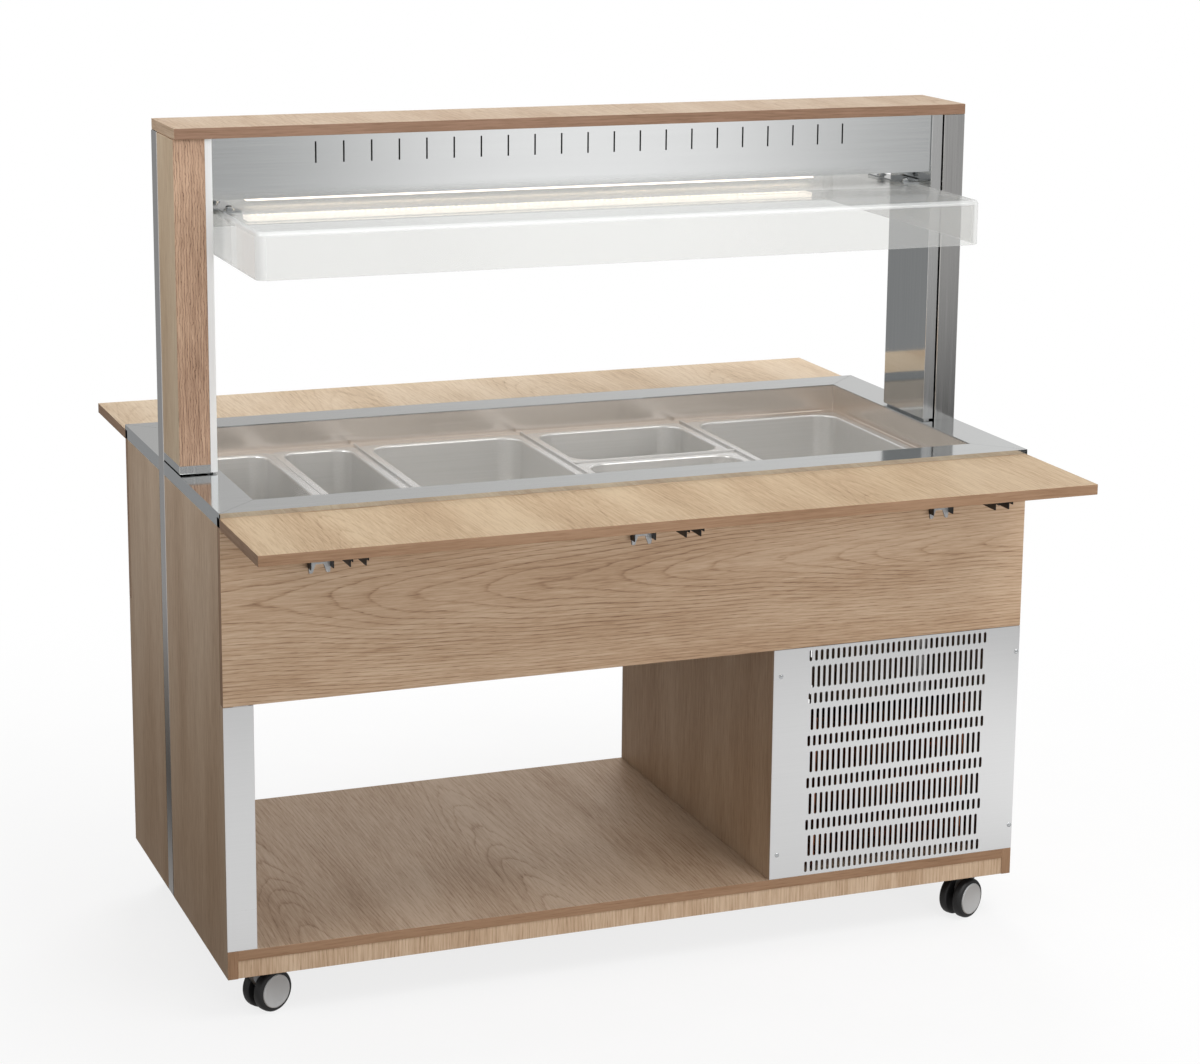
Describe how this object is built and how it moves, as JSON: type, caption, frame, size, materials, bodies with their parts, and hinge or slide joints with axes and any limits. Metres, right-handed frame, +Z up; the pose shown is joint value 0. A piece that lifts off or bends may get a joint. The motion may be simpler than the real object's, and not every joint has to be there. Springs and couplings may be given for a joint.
{
  "type": "chilled buffet cart",
  "caption": "Wheeled buffet counter in oak and steel with a chilled pan well, folding shelves, lit canopy and clear hood",
  "frame": {"origin": "on the floor under the middle of the cart", "axes": "+X along the length to the cart's right end, -Y to the front, +Z up"},
  "size_m": [1.5, 1.232, 1.5],
  "materials": {
    "oak": "satin oak foil with fine pores",
    "stainless_steel": "polished",
    "casing": "foil-faced foam",
    "copper": "drawn",
    "brass": "satin",
    "black_steel": "satin black",
    "aluminium": "satin",
    "clear_acrylic": "polished",
    "black_plastic": "moulded",
    "caster_grey": "moulded",
    "caster_tyre": "matt"
  },
  "bodies": {
    "root": {"side_panel_left": "oak", "side_panel_right": "oak", "corner_uprights": "stainless_steel", "front_panel": "oak", "rear_panel": "oak", "base_board": "oak", "plinth_rails": "oak", "partition": "oak", "front_grille": "stainless_steel", "rear_cover": "stainless_steel", "corner_plates": "stainless_steel", "panel_screws": "stainless_steel", "steel_top": "stainless_steel", "well_tub": "stainless_steel", "well_insulation": "casing", "cooling_coil": "copper", "divider_bars": "stainless_steel", "drain_valve": "brass", "compressor": "black_steel", "condenser": "aluminium", "fan_shroud": "black_steel", "drier_and_pipes": "copper", "control_box": "black_plastic", "power_inlet": "black_plastic", "post_left": "stainless_steel", "post_right": "stainless_steel", "post_claddings": "oak", "fascia_panels": "stainless_steel", "canopy_board": "oak", "light_bar": "aluminium", "hood": "clear_acrylic", "hood_brackets": "stainless_steel", "bracket_legs": "stainless_steel", "caster_plates": "stainless_steel"},
    "front_shelf": {"front_shelf": "oak", "front_bracket_arms": "black_steel"},
    "front_struts": {"front_bracket_struts": "black_steel"},
    "rear_shelf": {"rear_shelf": "oak", "rear_bracket_arms": "black_steel"},
    "rear_struts": {"rear_bracket_struts": "black_steel"},
    "long_pan_left": {"long_pan_left": "stainless_steel"},
    "long_pan_right": {"long_pan_right": "stainless_steel"},
    "full_pan_left": {"full_pan_left": "stainless_steel"},
    "half_pan_rear": {"half_pan_rear": "stainless_steel"},
    "half_pan_front": {"half_pan_front": "stainless_steel"},
    "full_pan_right": {"full_pan_right": "stainless_steel"},
    "fan": {"fan_blades": "aluminium"},
    "thermostat_knob": {"thermostat_knob": "black_plastic"},
    "power_switch": {"power_switch": "black_plastic"},
    "light_switch": {"light_switch": "black_plastic"},
    "caster_front_left": {"caster_fork_front_left": "caster_grey"},
    "wheel_front_left": {"caster_wheel_front_left": "caster_tyre"},
    "caster_front_right": {"caster_fork_front_right": "caster_grey"},
    "wheel_front_right": {"caster_wheel_front_right": "caster_tyre"},
    "caster_rear_left": {"caster_fork_rear_left": "caster_grey"},
    "wheel_rear_left": {"caster_wheel_rear_left": "caster_tyre"},
    "brake_rear_left": {"brake_pedal_rear_left": "black_plastic"},
    "caster_rear_right": {"caster_fork_rear_right": "caster_grey"},
    "wheel_rear_right": {"caster_wheel_rear_right": "caster_tyre"},
    "brake_rear_right": {"brake_pedal_rear_right": "black_plastic"}
  },
  "joints": [
    {"name": "front_shelf_fold", "type": "hinge", "parent": "root", "child": "front_shelf", "pos_m": [0, -0.382, 0.8565], "axis": [1, 0, 0], "range_deg": [0, 90]},
    {"name": "front_strut_fold", "type": "hinge", "parent": "root", "child": "front_struts", "pos_m": [0, -0.3775, 0.812], "axis": [1, 0, 0], "range_deg": [0, 112]},
    {"name": "rear_shelf_fold", "type": "hinge", "parent": "root", "child": "rear_shelf", "pos_m": [0, 0.382, 0.8565], "axis": [-1, 0, 0], "range_deg": [0, 90]},
    {"name": "rear_strut_fold", "type": "hinge", "parent": "root", "child": "rear_struts", "pos_m": [0, 0.3775, 0.812], "axis": [-1, 0, 0], "range_deg": [0, 112]},
    {"name": "long_pan_left_lift", "type": "slide", "parent": "root", "child": "long_pan_left", "axis": [0, 0, 1], "range_m": [0, 0.2]},
    {"name": "long_pan_right_lift", "type": "slide", "parent": "root", "child": "long_pan_right", "axis": [0, 0, 1], "range_m": [0, 0.2]},
    {"name": "full_pan_left_lift", "type": "slide", "parent": "root", "child": "full_pan_left", "axis": [0, 0, 1], "range_m": [0, 0.2]},
    {"name": "half_pan_rear_lift", "type": "slide", "parent": "root", "child": "half_pan_rear", "axis": [0, 0, 1], "range_m": [0, 0.2]},
    {"name": "half_pan_front_lift", "type": "slide", "parent": "root", "child": "half_pan_front", "axis": [0, 0, 1], "range_m": [0, 0.2]},
    {"name": "full_pan_right_lift", "type": "slide", "parent": "root", "child": "full_pan_right", "axis": [0, 0, 1], "range_m": [0, 0.2]},
    {"name": "fan_spin", "type": "hinge", "parent": "root", "child": "fan", "pos_m": [0.502, -0.26, 0.29], "axis": [0, 1, 0], "continuous": true},
    {"name": "thermostat_turn", "type": "hinge", "parent": "root", "child": "thermostat_knob", "pos_m": [0.35, 0.37, 0.52], "axis": [0, -1, 0], "range_deg": [0, 300]},
    {"name": "power_switch_tip", "type": "hinge", "parent": "root", "child": "power_switch", "pos_m": [0.44, 0.363, 0.52], "axis": [1, 0, 0], "range_deg": [-14, 0]},
    {"name": "light_switch_tip", "type": "hinge", "parent": "root", "child": "light_switch", "pos_m": [0.5, 0.363, 0.52], "axis": [1, 0, 0], "range_deg": [-14, 0]},
    {"name": "caster_front_left_swivel", "type": "hinge", "parent": "root", "child": "caster_front_left", "pos_m": [-0.69, -0.318, 0.1], "axis": [0, 0, 1], "continuous": true},
    {"name": "wheel_front_left_roll", "type": "hinge", "parent": "caster_front_left", "child": "wheel_front_left", "pos_m": [-0.66753, -0.30704, 0.0375], "axis": [-0.4384, 0.8988, 0], "continuous": true},
    {"name": "caster_front_right_swivel", "type": "hinge", "parent": "root", "child": "caster_front_right", "pos_m": [0.69, -0.318, 0.1], "axis": [0, 0, 1], "continuous": true},
    {"name": "wheel_front_right_roll", "type": "hinge", "parent": "caster_front_right", "child": "wheel_front_right", "pos_m": [0.66753, -0.32896, 0.0375], "axis": [0.4384, -0.8988, 0], "continuous": true},
    {"name": "caster_rear_left_swivel", "type": "hinge", "parent": "root", "child": "caster_rear_left", "pos_m": [-0.69, 0.318, 0.1], "axis": [0, 0, 1], "continuous": true},
    {"name": "wheel_rear_left_roll", "type": "hinge", "parent": "caster_rear_left", "child": "wheel_rear_left", "pos_m": [-0.66753, 0.32896, 0.0375], "axis": [-0.4384, 0.8988, 0], "continuous": true},
    {"name": "brake_rear_left_press", "type": "hinge", "parent": "caster_rear_left", "child": "brake_rear_left", "pos_m": [-0.67562, 0.32501, 0.079], "axis": [-0.4384, 0.8988, 0], "range_deg": [0, 8]},
    {"name": "caster_rear_right_swivel", "type": "hinge", "parent": "root", "child": "caster_rear_right", "pos_m": [0.69, 0.318, 0.1], "axis": [0, 0, 1], "continuous": true},
    {"name": "wheel_rear_right_roll", "type": "hinge", "parent": "caster_rear_right", "child": "wheel_rear_right", "pos_m": [0.66753, 0.30704, 0.0375], "axis": [0.4384, -0.8988, 0], "continuous": true},
    {"name": "brake_rear_right_press", "type": "hinge", "parent": "caster_rear_right", "child": "brake_rear_right", "pos_m": [0.67562, 0.31099, 0.079], "axis": [0.4384, -0.8988, 0], "range_deg": [0, 8]}
  ],
  "couplings": [
    {"joint": "front_strut_fold", "follows": "front_shelf_fold", "ratio": 1.2155},
    {"joint": "rear_strut_fold", "follows": "rear_shelf_fold", "ratio": 1.2155}
  ]
}
